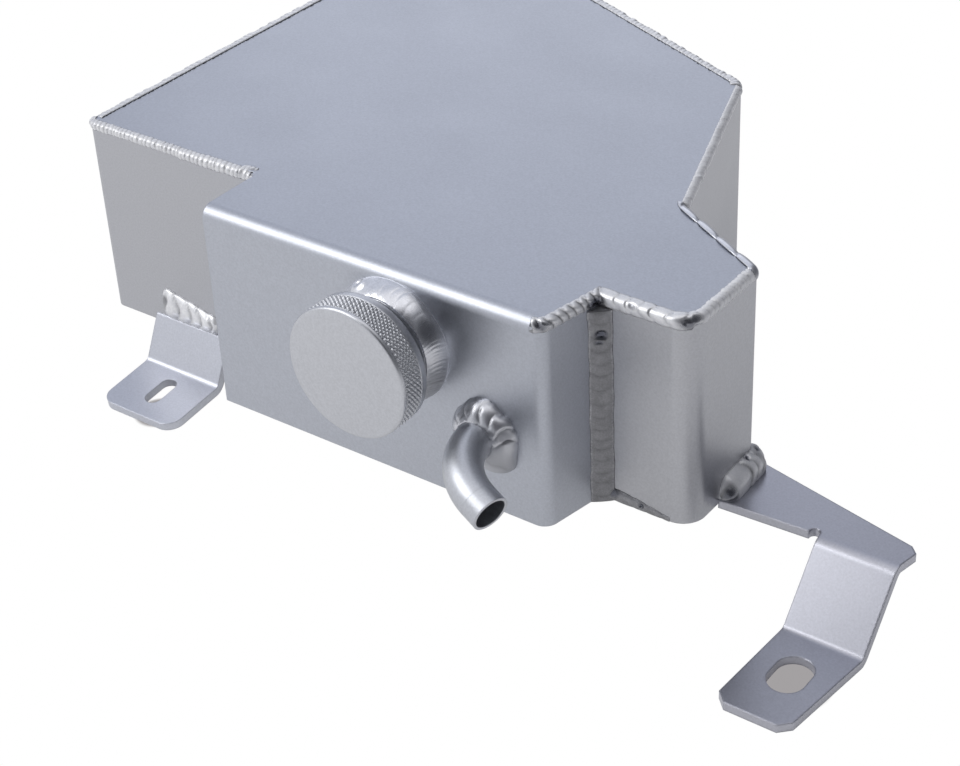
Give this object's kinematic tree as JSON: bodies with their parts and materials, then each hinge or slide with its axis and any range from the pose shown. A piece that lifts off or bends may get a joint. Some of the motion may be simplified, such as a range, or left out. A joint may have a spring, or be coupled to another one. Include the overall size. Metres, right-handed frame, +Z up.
{
  "type": "coolant expansion tank",
  "caption": "Welded aluminium coolant expansion tank with a screw cap, a bent hose spigot and two folded mounting brackets.",
  "frame": {"origin": "on the underside of the base plate, level with the front face's middle and with the wing's set-back wall", "axes": "+X to the right seen from the front, +Y from the front face to the tail, +Z up through the large top plate"},
  "size_m": [0.3148, 0.2763, 0.0993],
  "materials": {
    "sheet": "bead-blasted satin sheet",
    "wall": "bead-blasted satin sheet",
    "turned": "turned, diamond knurl on the cap",
    "tube": "drawn tube, satin",
    "bar": "brushed flat bar",
    "weld": "rippled weld metal, bright with dark pits",
    "seal": "matt black"
  },
  "bodies": {
    "tank": {"top_front_sheet": "sheet", "right_wall_strip": "wall", "left_wall_strip": "wall", "base_plate": "wall", "filler_neck": "turned", "hose_spigot": "tube", "pickup_tube": "tube", "left_bracket": "bar", "right_bracket": "bar", "weld_top_step": "weld", "weld_top_shoulder": "weld", "weld_top_tail": "weld", "weld_top_rear": "weld", "weld_top_left": "weld", "weld_top_wing": "weld", "weld_step_corner": "weld", "weld_far_seam": "weld", "weld_front_end": "weld", "weld_base": "weld", "weld_base_step": "weld", "weld_neck": "weld", "weld_spigot": "weld", "weld_left_bracket": "weld", "weld_right_bracket": "weld"},
    "seal": {"cap_seal": "seal"},
    "cap": {"filler_cap": "turned"}
  },
  "joints": [
    {"name": "cap_lift", "type": "slide", "parent": "tank", "child": "seal", "axis": [0, -1, 0], "range_m": [0, 0.006]},
    {"name": "cap_turn", "type": "hinge", "parent": "seal", "child": "cap", "pos_m": [0.01075, -0.0458, 0.051], "axis": [0, -1, 0], "range_deg": [0, 1080]}
  ],
  "couplings": [
    {"joint": "cap_lift", "follows": "cap_turn", "m_per_rad": 0.00031831}
  ]
}
